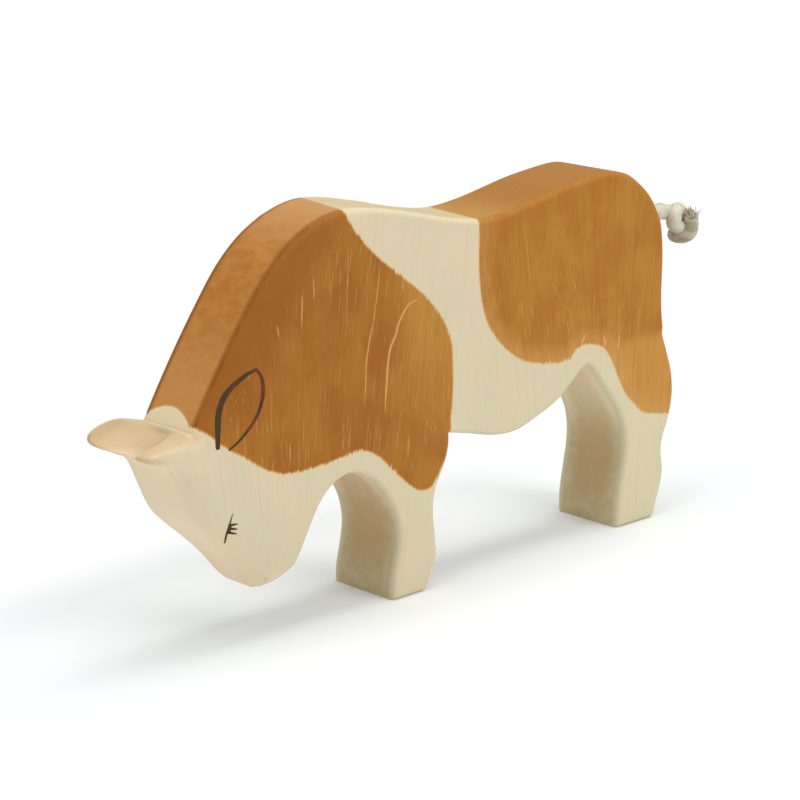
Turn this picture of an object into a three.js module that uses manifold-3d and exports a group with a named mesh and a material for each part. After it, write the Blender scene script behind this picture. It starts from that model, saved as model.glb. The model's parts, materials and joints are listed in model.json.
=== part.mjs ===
// A toy bull with its head lowered, sawn and carved from one wooden board, with a knotted cord for a tail.
// Lengths are in millimetres. +X runs from the horns to the tail, +Z is up, and the flanks face -Y and +Y.
// The origin is on the ground, midway along the wooden body.
import * as THREE from "three";
import { ConvexGeometry } from "three/addons/geometries/ConvexGeometry.js";
import { mergeVertices } from "three/addons/utils/BufferGeometryUtils.js";
import Module from "manifold-3d";

// The wooden body's own length and height, to which the drawing of its outline is stretched
const bullLength = 178.2;
const bullHeight = 98.2;

// The board, and the rounding of its sawn edges
const boardThickness = 22;
const edgeRounding = 1.4;
const outlineStep = 2.2;
const smallestBend = 0.04;
const flank = boardThickness / 2;
const clearOfBoard = 3;

// The crest of the neck is narrower than the board: a long sloping cut runs from it down to each flank.
// The cut climbs out of the wood above the withers.
const crestHalfWidth = 9.4;
const crestCutReach = 9;
const crestCutExit = [[-38.5, 96.2], [-31, 100.2], [-20, 107]];

// The muzzle is pared down on both sides, between these two points of the drawing
const muzzleTop = [-36.5, 31];
const muzzleTip = [-52.8, 11.2];
const muzzleTipHalfWidth = 7.2;

// A round gouge cut parts the two horns, from the foot of the neck forward and a little down
const hollowRadius = 12;
const hollowRear = [-74, 52.8];
const hollowFront = [-84.5, 48.6];

// The belly is pared back behind the shoulder, inside a rim on the flank and down to a flat floor
const waistDepth = 1.3;
const waistRim = [[-5, 76], [24, 76], [50, 27], [4.6, 38], [-16.5, 50]];
const waistFloor = [[9.5, 50], [29, 46], [34, 27], [9.5, 33]];

// The tail is a cord glued into a drilled bore in the rump
const tailSeat = [82.2, 80];
const cordDiameter = 4.6;
const boreClearance = 0.3;
const boreDepth = 18.5;
const drillPointAngle = 118;
const glueThickness = 1.2;
const seatGap = 0.25;

// The overhand knot winds twice round a ring that stands upright, turned away from the tail's own line
const knotStandOff = 18.6;
const knotDrop = 4.7;
const knotTurn = THREE.MathUtils.degToRad(44);
const knotRingRadius = 2.5;
const knotTwist = 0.52;
const knotCordDiameter = 3.7;
const knotFirstTurn = 0.7;
const knotLastTurn = 4 * Math.PI - 1.05;
const tuftLength = 5.5;
const tuftEndDiameter = 3.9;

// The side view of the bull, as [x, z] points on seven smooth lines that meet at corners
const hornLine = [
  [-74, 53.6], [-76.3, 54.2], [-79.4, 54.9], [-82.2, 55], [-85.8, 54.3], [-88.2, 53.2],
  [-89.1, 51.8], [-88.5, 50.4], [-86.6, 49.3], [-83.8, 48.1], [-80.4, 46.7], [-78.4, 45],
  [-77.1, 42.8], [-75.6, 39.3], [-74.3, 36.4], [-72.9, 33.4], [-71, 30.6], [-68, 27.5],
  [-63.8, 23.6], [-60, 19.8], [-57.2, 16.3], [-54.9, 13.2], [-52.8, 11.2],
];
const muzzleLine = [[-52.8, 11.2], [-49.9, 12.1], [-46.4, 13.7], [-43.3, 15.4]];
const throatLine = [
  [-43.3, 15.4], [-42.1, 18], [-40.9, 21.6], [-39.3, 26], [-37.6, 29.5], [-35.2, 32.2],
  [-32, 34.2], [-28.5, 35.1], [-25.3, 34.6], [-21.9, 32.8], [-18.5, 30], [-15.4, 26.1],
  [-13.2, 22], [-12.1, 18], [-11.9, 14.5], [-12.7, 9.5], [-13.8, 4.5], [-14, 0],
];
const foreLegRearLine = [
  [-2.9, 0], [-0.9, 4.4], [0.8, 8.5], [0.5, 13], [-0.1, 18], [-0.1, 22], [0.8, 25.9],
  [2.8, 29.6], [4.5, 33.2], [5.3, 38.4],
];
const bellyLine = [
  [5.3, 38.4], [12.5, 36.7], [17.6, 35.3], [22, 34.3], [26.5, 33.8], [31, 34.2], [35.7, 35.8],
  [40.2, 37.6], [44, 39.4], [47, 41.4], [50.8, 44.4], [53, 45.9], [55.4, 46.6], [58, 44.4],
  [60.6, 40.9], [64.8, 35.4], [67.5, 31.6], [69.3, 27.6], [70.1, 23], [69.9, 18.6], [69, 13.8],
  [67.7, 6.5], [67.4, 0],
];
const hindLegRearLine = [
  [81.9, 0], [83.1, 3.6], [84.7, 7.9], [85.6, 12], [85.3, 15.2], [84.9, 18.2], [85.5, 21.7],
  [87, 25], [88.4, 29.1], [89.1, 33.9], [88.5, 39.3], [86.7, 44.8], [84.5, 51], [83.5, 59],
  [83.5, 71.4], [82.7, 78.8], [81.5, 82], [79.6, 85.3], [77.2, 88.3], [73.7, 91.3],
  [69.7, 93.9], [65.8, 95.2], [61.5, 95.6], [54.7, 95.1], [44.7, 93.9], [35.7, 92.2],
  [26.9, 90.7], [18.5, 90], [11.5, 90.6], [2, 92.5], [-6.9, 94.8], [-18, 97.2], [-26.3, 98.2],
  [-32.5, 97.6], [-38.5, 95.8],
];
const crestLine = [
  [-38.5, 95.8], [-43.9, 92.9], [-48.6, 89.3], [-53.2, 84.6], [-58.7, 77.4], [-64, 69.8],
  [-69.2, 61.8], [-72.6, 56.2], [-74, 53.6],
];

const outlineLines = [
  hornLine, muzzleLine, throatLine, foreLegRearLine, bellyLine, hindLegRearLine, crestLine,
];

// How far the drawing reaches along one of its two directions
function drawnExtent(direction) {
  const reaches = outlineLines.flat().map((point) => point[direction]);
  return Math.max(...reaches) - Math.min(...reaches);
}

const stretchX = bullLength / drawnExtent(0);
const stretchZ = bullHeight / drawnExtent(1);

// Where a point of the drawing lies on the bull
function place([x, z]) {
  return new THREE.Vector2(x * stretchX, z * stretchZ);
}

// The same place in space, at a given distance from the middle of the board
function placeAt(y, drawn) {
  const { x, y: z } = place(drawn);
  return new THREE.Vector3(x, y, z);
}

const wasm = await Module();
wasm.setup();

// A closed three.js surface as a solid that can be joined and cut
function solid(geometry) {
  const bare = geometry.index ? geometry.toNonIndexed() : geometry.clone();
  bare.deleteAttribute("normal");
  bare.deleteAttribute("uv");
  const welded = mergeVertices(bare, 1e-4);
  return new wasm.Manifold(new wasm.Mesh({
    numProp: 3,
    vertProperties: new Float32Array(welded.attributes.position.array),
    triVerts: new Uint32Array(welded.index.array),
  }));
}

// The surface of a solid, with flat-shaded faces
function surface(body) {
  const mesh = body.getMesh();
  const geometry = new THREE.BufferGeometry();
  geometry.setAttribute("position", new THREE.BufferAttribute(new Float32Array(mesh.vertProperties), 3));
  geometry.setIndex(new THREE.BufferAttribute(new Uint32Array(mesh.triVerts), 1));
  const faces = geometry.toNonIndexed();
  faces.computeVertexNormals();
  return faces;
}

// The bull's outline, once round from the horn, with the points left out where the line runs straight
function bullOutline() {
  const afterSole = [foreLegRearLine, hindLegRearLine];
  const corners = outlineLines.flatMap((drawn) => {
    const line = new THREE.SplineCurve(drawn.map(place));
    const spaced = line.getSpacedPoints(Math.round(line.getLength() / outlineStep));
    return afterSole.includes(drawn) ? spaced : spaced.slice(1);
  });
  const kept = [];
  corners.forEach((corner, i) => {
    const before = kept.at(-1) ?? corners.at(-1);
    const after = corners[(i + 1) % corners.length];
    const arriving = new THREE.Vector2().subVectors(corner, before);
    const leaving = new THREE.Vector2().subVectors(after, corner);
    if (Math.abs(arriving.cross(leaving)) > smallestBend) {
      kept.push(corner);
    }
  });
  return new THREE.Shape(kept);
}

// The outline sawn from the board, which stands on edge, with its edges rounded
function sawnBoard() {
  const board = new THREE.ExtrudeGeometry(bullOutline(), {
    depth: boardThickness - 2 * edgeRounding,
    bevelThickness: edgeRounding,
    bevelSize: edgeRounding,
    bevelOffset: -edgeRounding,
    bevelSegments: 3,
  });
  board.translate(0, 0, edgeRounding - flank);
  board.rotateX(Math.PI / 2);
  return board;
}

// The sloping cut beside the crest: a wedge swept up the neck, running out to nothing on the flank
function crestCut(side) {
  const line = [...crestLine].reverse().slice(0, -1).concat(crestCutExit);
  const path = new THREE.CatmullRomCurve3(line.map((drawn) => placeAt(0, drawn)));
  const slope = (flank - crestHalfWidth) / crestCutReach;
  const above = -clearOfBoard;
  const below = crestCutReach + clearOfBoard;
  const section = new THREE.Shape([
    new THREE.Vector2(side * (crestHalfWidth + slope * above), above),
    new THREE.Vector2(side * (crestHalfWidth + slope * below), below),
    new THREE.Vector2(side * (flank + clearOfBoard), below),
    new THREE.Vector2(side * (flank + clearOfBoard), above),
  ]);
  return new THREE.ExtrudeGeometry(section, { steps: 24, extrudePath: path, bevelEnabled: false });
}

// One flat paring cut on a cheek, from below the eye down past the nose
function muzzleCut(side) {
  const top = place(muzzleTop);
  const tip = place(muzzleTip);
  const slope = (flank - muzzleTipHalfWidth) / (top.y - tip.y);
  const out = side * (flank + clearOfBoard);
  return new ConvexGeometry([-bullLength / 2 - clearOfBoard, top.x].flatMap((x) => [
    new THREE.Vector3(x, side * flank, top.y),
    new THREE.Vector3(x, side * (flank - slope * top.y), 0),
    new THREE.Vector3(x, out, top.y),
    new THREE.Vector3(x, out, 0),
  ]));
}

// The paring cuts of the belly on one flank: down off the shoulder, along the belly and up to the thigh
function waistCut(side) {
  const inside = side * (flank - waistDepth);
  const out = side * (flank + clearOfBoard);
  return new ConvexGeometry([
    ...waistRim.map((drawn) => placeAt(side * flank, drawn)),
    ...waistRim.map((drawn) => placeAt(out, drawn)),
    ...waistFloor.map((drawn) => placeAt(inside, drawn)),
  ]);
}

// The gouge cut between the horns, whose floor runs through the two drawn points and out past the tips
function hornHollow() {
  const rear = place(hollowRear);
  const along = place(hollowFront).sub(rear);
  const length = 2 * along.length() + clearOfBoard;
  const gouge = new THREE.CylinderGeometry(hollowRadius, hollowRadius, length, 48);
  gouge.translate(hollowRadius, length / 2, 0);
  gouge.rotateZ(along.angle() - Math.PI / 2);
  gouge.rotateX(Math.PI / 2);
  gouge.translate(rear.x, 0, rear.y);
  return gouge;
}

// A place measured from the middle of the bore's mouth: out of the rump, sideways and up
function fromSeat(out, aside, up) {
  return placeAt(0, tailSeat).add(new THREE.Vector3(out, aside, up));
}

// The bore for the tail, with the cone that a drill's point leaves
function tailBore() {
  const radius = cordDiameter / 2 + boreClearance;
  const point = radius / Math.tan(THREE.MathUtils.degToRad(drillPointAngle / 2));
  const drill = new THREE.LatheGeometry([
    new THREE.Vector2(0, -boreDepth - point),
    new THREE.Vector2(radius, -boreDepth),
    new THREE.Vector2(radius, clearOfBoard),
    new THREE.Vector2(0, clearOfBoard),
  ], 24);
  drill.rotateZ(-Math.PI / 2);
  drill.translate(...fromSeat(0, 0, 0));
  return drill;
}

// The whole wooden body: one board less every cut
function carvedBull() {
  const sideCuts = [-1, 1].flatMap((side) => [crestCut(side), muzzleCut(side), waistCut(side)]);
  return [...sideCuts, hornHollow(), tailBore()].reduce(
    (body, cut) => body.subtract(solid(cut)),
    solid(sawnBoard()),
  );
}

// A cord along a smooth route, ten-sided
function cord(route, diameter, steps) {
  const sides = 10;
  const corners = [];
  for (let i = 0; i < sides; i += 1) {
    const turn = (2 * Math.PI * (i + 0.5)) / sides;
    corners.push(new THREE.Vector2(Math.cos(turn), Math.sin(turn)).multiplyScalar(diameter / 2));
  }
  return new THREE.ExtrudeGeometry(new THREE.Shape(corners), { steps, extrudePath: route, bevelEnabled: false });
}

// A place measured from the knot's centre in ring radii: ahead in the ring's plane, along its axis, and up
function byKnot(ahead, aside, up) {
  const ringAhead = new THREE.Vector3(Math.cos(knotTurn), Math.sin(knotTurn), 0);
  const ringAxis = new THREE.Vector3(Math.sin(knotTurn), -Math.cos(knotTurn), 0);
  return fromSeat(knotStandOff, 0, up * knotRingRadius - knotDrop)
    .addScaledVector(ringAhead, ahead * knotRingRadius)
    .addScaledVector(ringAxis, aside * knotRingRadius);
}

// The knotted cord's middle line at a given turn round the ring: it makes three half twists in two turns
function knotPoint(turn) {
  const reach = 1 + knotTwist * Math.cos(1.5 * turn);
  return byKnot(reach * Math.sin(turn), -knotTwist * Math.sin(1.5 * turn), reach * Math.cos(turn));
}

// The tail's route: along the bore, out of the rump, and onto the top of the knot
const tailRoute = new THREE.CatmullRomCurve3([
  fromSeat(glueThickness + 2 * seatGap - boreDepth, 0, 0),
  fromSeat(-0.4 * boreDepth, 0, 0),
  fromSeat(0, 0, 0),
  fromSeat(1.1 * cordDiameter, 0, 0.05 * cordDiameter),
  fromSeat(2.2 * cordDiameter, -0.09 * cordDiameter, 0.07 * cordDiameter),
  byKnot(-1.8, -1.12, 2.12),
]);

// The knot's route: off the cord, twice round the ring, and down beside it
function knotRoute() {
  const mouth = tailRoute.getPoint(1);
  const onward = tailRoute.getTangent(1);
  const windings = 24;
  const wound = Array.from({ length: windings + 1 }, (_, i) => (
    knotPoint(knotFirstTurn + (i / windings) * (knotLastTurn - knotFirstTurn))
  ));
  return [
    mouth.clone().addScaledVector(onward, 2 * seatGap),
    mouth.clone().addScaledVector(onward, 5 * seatGap),
    byKnot(-0.12, -0.52, 1.72),
    ...wound,
    byKnot(-0.36, 0.96, 1.4),
    byKnot(0.16, 1.6, 1.2),
    byKnot(0.36, 1.88, 0.32),
  ];
}

// A soft cord presses into itself where it is pulled tight, so the knot's lengths join into one solid.
// Each length runs over a part of the route's points and shares two of them with the next length.
function tiedKnot() {
  const route = knotRoute();
  const starts = [0, 7, 13, 19];
  return starts
    .map((start, i) => route.slice(start, i + 1 < starts.length ? starts[i + 1] + 2 : route.length))
    .map((points) => solid(cord(new THREE.CatmullRomCurve3(points), knotCordDiameter, 14)))
    .reduce((joined, length) => joined.add(length));
}

// The cut end of the cord, opened a little by its loose strands
function frayedEnd() {
  const radius = knotCordDiameter / 2;
  const tuft = new THREE.LatheGeometry([
    new THREE.Vector2(0, 0),
    new THREE.Vector2(radius, 0),
    new THREE.Vector2(radius, 0.4 * tuftLength),
    new THREE.Vector2(tuftEndDiameter / 2, 0.9 * tuftLength),
    new THREE.Vector2(0.8 * (tuftEndDiameter / 2), tuftLength),
    new THREE.Vector2(0, tuftLength),
  ], 16);
  const lastLength = knotRoute().slice(-5);
  const away = new THREE.CatmullRomCurve3(lastLength).getTangent(1);
  const start = lastLength.at(-1).clone().addScaledVector(away, seatGap);
  tuft.applyQuaternion(new THREE.Quaternion().setFromUnitVectors(new THREE.Vector3(0, 1, 0), away));
  tuft.translate(start.x, start.y, start.z);
  return tuft;
}

// The cured glue at the end of the bore, behind the cord
function glueDisc() {
  const radius = cordDiameter / 2;
  const disc = new THREE.CylinderGeometry(radius, radius, glueThickness, 24);
  disc.rotateZ(-Math.PI / 2);
  disc.translate(...fromSeat(seatGap + glueThickness / 2 - boreDepth, 0, 0));
  return disc;
}

const part = new THREE.Group();

function add(name, geometry, colour, roughness) {
  const finish = new THREE.MeshStandardMaterial({ color: colour, roughness, metalness: 0 });
  const mesh = new THREE.Mesh(geometry, finish);
  mesh.name = name;
  part.add(mesh);
}

add("body", surface(carvedBull()), 0xd9cbaa, 0.6);
add("tail_glue", glueDisc(), 0xc9a25e, 0.3);
add("tail_cord", cord(tailRoute, cordDiameter, 14), 0xc8c3af, 0.9);
add("tail_knot", surface(tiedKnot()), 0xc8c3af, 0.9);
add("tail_tuft", frayedEnd(), 0xb5a98a, 0.95);
export default part;
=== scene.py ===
# %% [markdown]
# # A carved toy bull with a cord tail
#
# A toymaker saws this bull from a planed board of pale, close-grained wood, softens its edges, pares the
# neck, muzzle and belly with a knife, and gouges the horns apart. Thin brown stain makes its coat, a pen
# draws the ears and eyes, and a knotted cord is glued in as the tail.
#
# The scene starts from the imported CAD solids, which fix every size and place. Each piece below stands where
# its solid stands, in metres, with +X towards the tail, +Z up, and the flanks facing -Y and +Y.

import json

import bpy
import numpy as np
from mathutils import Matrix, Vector
from mathutils.geometry import delaunay_2d_cdt

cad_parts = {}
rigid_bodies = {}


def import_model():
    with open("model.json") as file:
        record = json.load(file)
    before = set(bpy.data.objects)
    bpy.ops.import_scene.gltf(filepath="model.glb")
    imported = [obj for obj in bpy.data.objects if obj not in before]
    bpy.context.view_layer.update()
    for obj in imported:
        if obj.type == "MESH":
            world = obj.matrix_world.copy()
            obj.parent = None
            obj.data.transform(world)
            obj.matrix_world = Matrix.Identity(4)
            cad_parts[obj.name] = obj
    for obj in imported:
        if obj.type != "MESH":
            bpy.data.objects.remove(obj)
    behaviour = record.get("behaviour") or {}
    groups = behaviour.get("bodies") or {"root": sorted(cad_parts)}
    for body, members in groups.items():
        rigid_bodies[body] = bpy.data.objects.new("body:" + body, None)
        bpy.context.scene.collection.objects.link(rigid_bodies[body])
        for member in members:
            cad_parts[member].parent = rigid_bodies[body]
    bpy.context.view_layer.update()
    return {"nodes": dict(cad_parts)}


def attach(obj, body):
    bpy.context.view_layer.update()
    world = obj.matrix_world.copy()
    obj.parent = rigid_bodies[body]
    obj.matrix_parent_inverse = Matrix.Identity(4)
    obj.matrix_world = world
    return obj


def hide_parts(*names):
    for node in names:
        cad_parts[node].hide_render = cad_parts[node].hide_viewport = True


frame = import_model()
MM = 0.001
print("CAD nodes:", sorted(frame["nodes"]))

# %% [markdown]
# ## The camera
#
# The camera stands level with the bull's shoulder, off its near front quarter, with a long lens. A long lens
# keeps the far legs nearly as big as the near ones, as in a product picture taken from a step back.

# %% Place the camera
CAMERA_PLACE = np.array([-425.7, -440.0, 214.1]) * MM
CAMERA_AIM = np.array([-1.6, 0.0, 46.1]) * MM

camera = bpy.data.objects.new("camera", bpy.data.cameras.new("camera"))
bpy.context.scene.collection.objects.link(camera)
camera.location = CAMERA_PLACE
camera.rotation_euler = Vector(CAMERA_AIM - CAMERA_PLACE).to_track_quat("-Z", "Y").to_euler()
camera.data.sensor_width = 36.0
camera.data.lens = 117.0
camera.data.clip_start = 0.01
bpy.context.scene.camera = camera
print("camera distance %.0f mm" % (np.linalg.norm(CAMERA_PLACE - CAMERA_AIM) / MM))

# %% [markdown]
# ## Helpers for shapes
#
# A smooth line through listed points is the basis of both the outline and the cord. A Catmull-Rom spline
# passes through each of its points, so a drawn point is a point of the finished shape.


# %% Smooth lines and meshes
def smooth_line(points, spacing):
    """Points along a smooth line, evenly spaced.

    Between two neighbours the line is a cubic whose slope at each point is half the step from the point
    before it to the point after it. The ends continue straight. The finely sampled cubic is then measured
    along its length, and the wanted points are read off at equal distances.
    """
    p = np.asarray(points, float)
    p = np.vstack([2 * p[0] - p[1], p, 2 * p[-1] - p[-2]])
    t = np.linspace(0, 1, 40, endpoint=False)[None, :, None]
    a, b, c, d = (p[i:len(p) - 3 + i, None, :] for i in range(4))
    fine = 0.5 * (2 * b + (c - a) * t + (2 * a - 5 * b + 4 * c - d) * t**2 + (3 * b - a - 3 * c + d) * t**3)
    fine = np.vstack([fine.reshape(-1, p.shape[1]), p[-2]])
    run = np.r_[0, np.cumsum(np.linalg.norm(np.diff(fine, axis=0), axis=1))]
    count = max(2, int(round(run[-1] / spacing)) + 1)
    at = np.linspace(0, run[-1], count)
    return np.column_stack([np.interp(at, run, fine[:, k]) for k in range(p.shape[1])])


def smooth_step(low, high, value):
    """0 below low, 1 above high, and an S-shaped rise between them."""
    t = np.clip((value - low) / (high - low), 0, 1)
    return t * t * (3 - 2 * t)


def nearest_on(line, points):
    """Distance from each point to a line of straight steps, and where along the line the nearest place is.

    Each point is dropped at right angles onto every step, held between the step's ends, and the shortest
    drop is kept. The place is counted in steps from the line's start.
    """
    start, step = line[:-1], np.diff(line, axis=0)
    length2 = np.maximum((step**2).sum(1), 1e-12)
    distance = np.empty(len(points))
    place = np.empty(len(points))
    for first in range(0, len(points), 3000):
        q = points[first:first + 3000, None, :] - start
        t = np.clip((q * step).sum(2) / length2, 0, 1)
        gap = np.linalg.norm(q - t[..., None] * step, axis=2)
        best = gap.argmin(1)
        rows = np.arange(len(best))
        distance[first:first + 3000] = gap[rows, best]
        place[first:first + 3000] = best + t[rows, best]
    return distance, place


def inside(loop, points):
    """True where a point lies inside a closed loop: a ray from it crosses the loop an odd number of times."""
    a, b = loop, np.roll(loop, -1, axis=0)
    crossings = np.zeros(len(points), int)
    for first in range(0, len(points), 3000):
        x, z = points[first:first + 3000, 0, None], points[first:first + 3000, 1, None]
        spans = (a[:, 1] > z) != (b[:, 1] > z)
        rise = np.where(b[:, 1] == a[:, 1], 1e-12, b[:, 1] - a[:, 1])
        reach = a[:, 0] + (z - a[:, 1]) * (b[:, 0] - a[:, 0]) / rise
        crossings[first:first + 3000] = (spans & (x < reach)).sum(1)
    return crossings % 2 == 1


def new_piece(name, places, faces, material):
    """A mesh piece from places in millimetres and a list of faces, smooth-shaded, riding on the bull."""
    mesh = bpy.data.meshes.new(name)
    mesh.from_pydata((np.asarray(places) * MM).tolist(), [], faces)
    mesh.validate()
    mesh.polygons.foreach_set("use_smooth", np.ones(len(mesh.polygons), bool))
    mesh.materials.append(material)
    piece = bpy.data.objects.new(name, mesh)
    bpy.context.scene.collection.objects.link(piece)
    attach(piece, "root")
    return piece

# %% [markdown]
# ## Helpers for materials
#
# Colours are written as they look on a screen and turned into the linear values that light is worked out in.
# One function adds a node, sets its values and links its inputs, and every material is written with it.


# %% Colours and nodes
def linear(hex_colour):
    """Linear red, green, blue and alpha of an sRGB colour written as #RRGGBB."""
    srgb = np.array([int(hex_colour[i:i + 2], 16) / 255 for i in (1, 3, 5)])
    low, high = srgb / 12.92, ((srgb + 0.055) / 1.055) ** 2.4
    return (*np.where(srgb <= 0.04045, low, high).tolist(), 1.0)


def node(tree, kind, inputs=None, **settings):
    """Adds a node with the given settings. An input is a value, or the output or the node that feeds it. A
    node feeds it from its first output."""
    made = tree.nodes.new("ShaderNode" + kind)
    for key, value in settings.items():
        setattr(made, key, value)
    for key, value in (inputs or {}).items():
        if isinstance(value, bpy.types.Node):
            value = value.outputs[0]
        if isinstance(value, bpy.types.NodeSocket):
            tree.links.new(value, made.inputs[key])
        else:
            made.inputs[key].default_value = value
    return made


def new_material(name):
    """An empty material and its node tree."""
    material = bpy.data.materials.new(name)
    material.use_nodes = True
    material.node_tree.nodes.clear()
    return material, material.node_tree


def give_surface(tree, inputs):
    """Ends a material with a surface shader that has the given inputs."""
    node(tree, "OutputMaterial", {"Surface": node(tree, "BsdfPrincipled", inputs)})


# %% [markdown]
# ## The drawing of the bull
#
# The outline is the line the saw follows, seen from the side. It is drawn as nine smooth runs that meet at
# the corners a saw leaves: at the foot of the neck, the nose, the jaw, the feet and behind the foreleg.

# %% The outline
HORN_LINE = [
    (-74, 53.6), (-76.3, 54.2), (-79.4, 54.9), (-82.2, 55), (-85.8, 54.3), (-88.2, 53.2),
    (-89.1, 51.8), (-88.5, 50.4), (-86.6, 49.3), (-83.8, 48.1), (-80.4, 46.7), (-78.4, 45),
    (-77.1, 42.8), (-75.6, 39.3), (-74.3, 36.4), (-72.9, 33.4), (-71, 30.6), (-68, 27.5),
    (-63.8, 23.6), (-60, 19.8), (-57.2, 16.3), (-54.9, 13.2), (-52.8, 11.2),
]
MUZZLE_LINE = [(-52.8, 11.2), (-49.9, 12.1), (-46.4, 13.7), (-43.3, 15.4)]
THROAT_LINE = [
    (-43.3, 15.4), (-42.1, 18), (-40.9, 21.6), (-39.3, 26), (-37.6, 29.5), (-35.2, 32.2),
    (-32, 34.2), (-28.5, 35.1), (-25.3, 34.6), (-21.9, 32.8), (-18.5, 30), (-15.4, 26.1),
    (-13.2, 22), (-12.1, 18), (-11.9, 14.5), (-12.7, 9.5), (-13.8, 4.5), (-14, 0),
]
FORE_SOLE = [(-14, 0), (-2.9, 0)]
FORELEG_REAR_LINE = [
    (-2.9, 0), (-0.9, 4.4), (0.8, 8.5), (0.5, 13), (-0.1, 18), (-0.1, 22), (0.8, 25.9),
    (2.8, 29.6), (4.5, 33.2), (5.3, 38.4),
]
BELLY_LINE = [
    (5.3, 38.4), (12.5, 36.7), (17.6, 35.3), (22, 34.3), (26.5, 33.8), (31, 34.2), (35.7, 35.8),
    (40.2, 37.6), (44, 39.4), (47, 41.4), (50.8, 44.4), (53, 45.9), (55.4, 46.6), (58, 44.4),
    (60.6, 40.9), (64.8, 35.4), (67.5, 31.6), (69.3, 27.6), (70.1, 23), (69.9, 18.6), (69, 13.8),
    (67.7, 6.5), (67.4, 0),
]
HIND_SOLE = [(67.4, 0), (81.9, 0)]
RUMP_LINE = [
    (81.9, 0), (83.1, 3.6), (84.7, 7.9), (85.6, 12), (85.3, 15.2), (84.9, 18.2), (85.5, 21.7),
    (87, 25), (88.4, 29.1), (89.1, 33.9), (88.5, 39.3), (86.7, 44.8), (84.5, 51), (83.5, 59),
    (83.5, 71.4), (82.7, 78.8), (81.5, 82), (79.6, 85.3), (77.2, 88.3), (73.7, 91.3),
    (69.7, 93.9), (65.8, 95.2), (61.5, 95.6), (54.7, 95.1), (44.7, 93.9), (35.7, 92.2),
    (26.9, 90.7), (18.5, 90), (11.5, 90.6), (2, 92.5), (-6.9, 94.8), (-18, 97.2), (-26.3, 98.2),
    (-32.5, 97.6), (-38.5, 95.8),
]
CREST_LINE = [
    (-38.5, 95.8), (-43.9, 92.9), (-48.6, 89.3), (-53.2, 84.6), (-58.7, 77.4), (-64, 69.8),
    (-69.2, 61.8), (-72.6, 56.2), (-74, 53.6),
]
RUNS = [HORN_LINE, MUZZLE_LINE, THROAT_LINE, FORE_SOLE, FORELEG_REAR_LINE, BELLY_LINE, HIND_SOLE,
        RUMP_LINE, CREST_LINE]
OUTLINE_STEP = 0.75

outline = np.vstack([smooth_line(run, OUTLINE_STEP)[:-1] for run in RUNS])
closed_outline = np.vstack([outline, outline[:1]])
print("outline: %d points, %.0f mm round" % (
    len(outline), np.linalg.norm(np.diff(closed_outline, axis=0), axis=1).sum()))

# %% [markdown]
# ## How thick the carved wood is
#
# The planed board is 22 mm thick, and the knife takes some of it away. The half thickness is a function of
# the place on the flank, so one formula shapes both sides. Each cut is a slope with a soft start, as a
# sanded knife cut has, and the gentle waves are what hand sanding leaves on a flat board.

# %% The half thickness
FLANK = 11.0
CREST_HALF_WIDTH = 9.4
CREST_CUT_REACH = 9.0
MUZZLE_TOP_HEIGHT = 31.0
MUZZLE_TIP_HEIGHT = 11.2
MUZZLE_TIP_HALF_WIDTH = 7.2
MUZZLE_REAR = -30.0
MUZZLE_POWER = 1.35
WAVE_HEIGHT = 0.05
WAIST_DEPTH = 1.3
THIGH_DEPTH = 0.55
CREST_CUT_EXIT = [(-38.5, 95.8), (-31, 99.8), (-20, 107)]
WAIST_RIM = np.array([(4.6, 37.2), (-16.5, 50), (-5, 76), (24, 76), (50, 27)], float)
WAIST_SLOPES = [5.0, 19.0, 26.0, 19.0]


def soft_least(values, softness):
    """The least of several values, with the corners between them rounded off over the given softness."""
    values = np.asarray(values)
    least = values.min(0)
    return least - softness * np.log(np.exp((least - values) / softness).sum(0))


def waist_cut(x, z):
    """How deep the belly is pared. The depth grows with the distance inside each side of the rim, at that
    side's own slope, and it stops at the flat floor. The rim is open below, where the cut runs out."""
    start, end = WAIST_RIM[:-1], WAIST_RIM[1:]
    along = (end - start) / np.linalg.norm(end - start, axis=1)[:, None]
    inward = [(z - s[1]) * -a[0] + (x - s[0]) * a[1] for s, a in zip(start, along)]
    rising = [WAIST_DEPTH * d / w for d, w in zip(inward, WAIST_SLOPES)]
    return np.maximum(soft_least([*rising, np.full_like(x, WAIST_DEPTH)], 0.08), 0)


def half_thickness(x, z):
    """The board's half thickness less the four cuts and the waves.

    The crest cut narrows the wood in proportion to how near the crest is. The muzzle cut narrows it with a
    power of the depth below the brow, so that it starts without a crease. The thigh cut starts at a step and
    runs out downwards.
    """
    points = np.column_stack([x, z])
    crest = smooth_line([*CREST_CUT_EXIT[::-1][:-1], *CREST_LINE], 1.5)
    to_crest, _ = nearest_on(crest, points)
    crest_cut = (FLANK - CREST_HALF_WIDTH) * np.clip(1 - to_crest / CREST_CUT_REACH, 0, 1)
    low = np.clip((MUZZLE_TOP_HEIGHT - z) / (MUZZLE_TOP_HEIGHT - MUZZLE_TIP_HEIGHT), 0, 1.2)
    muzzle_cut = (FLANK - MUZZLE_TIP_HALF_WIDTH) * low**MUZZLE_POWER * (x < MUZZLE_REAR)
    thigh_cut = THIGH_DEPTH * np.clip((z - 24) / 26, 0, 1) * smooth_step(52, 49.5, z) * smooth_step(50, 57, x)
    waves = WAVE_HEIGHT * np.sin(x / 6.1 + 1.3 * np.sin(z / 13)) * np.sin(z / 8.3 + 0.7)
    return FLANK - crest_cut - muzzle_cut - waist_cut(x, z) - thigh_cut + waves - WAVE_HEIGHT


print("half thickness at shoulder %.2f, belly %.2f, nose %.2f mm" % tuple(
    half_thickness(np.array([-35.0, 22.0, -52.0]), np.array([60.0, 46.0, 13.0]))))

# %% [markdown]
# ## The flanks
#
# A flank is one nearly flat sheet of points inside the outline, whose edge turns over in a quarter round.
# How far a point lies from the outline gives its place on that round. The points are set closer together
# round the pen lines, because the ink's edge is stored point by point, and Delaunay triangles join them.

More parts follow.
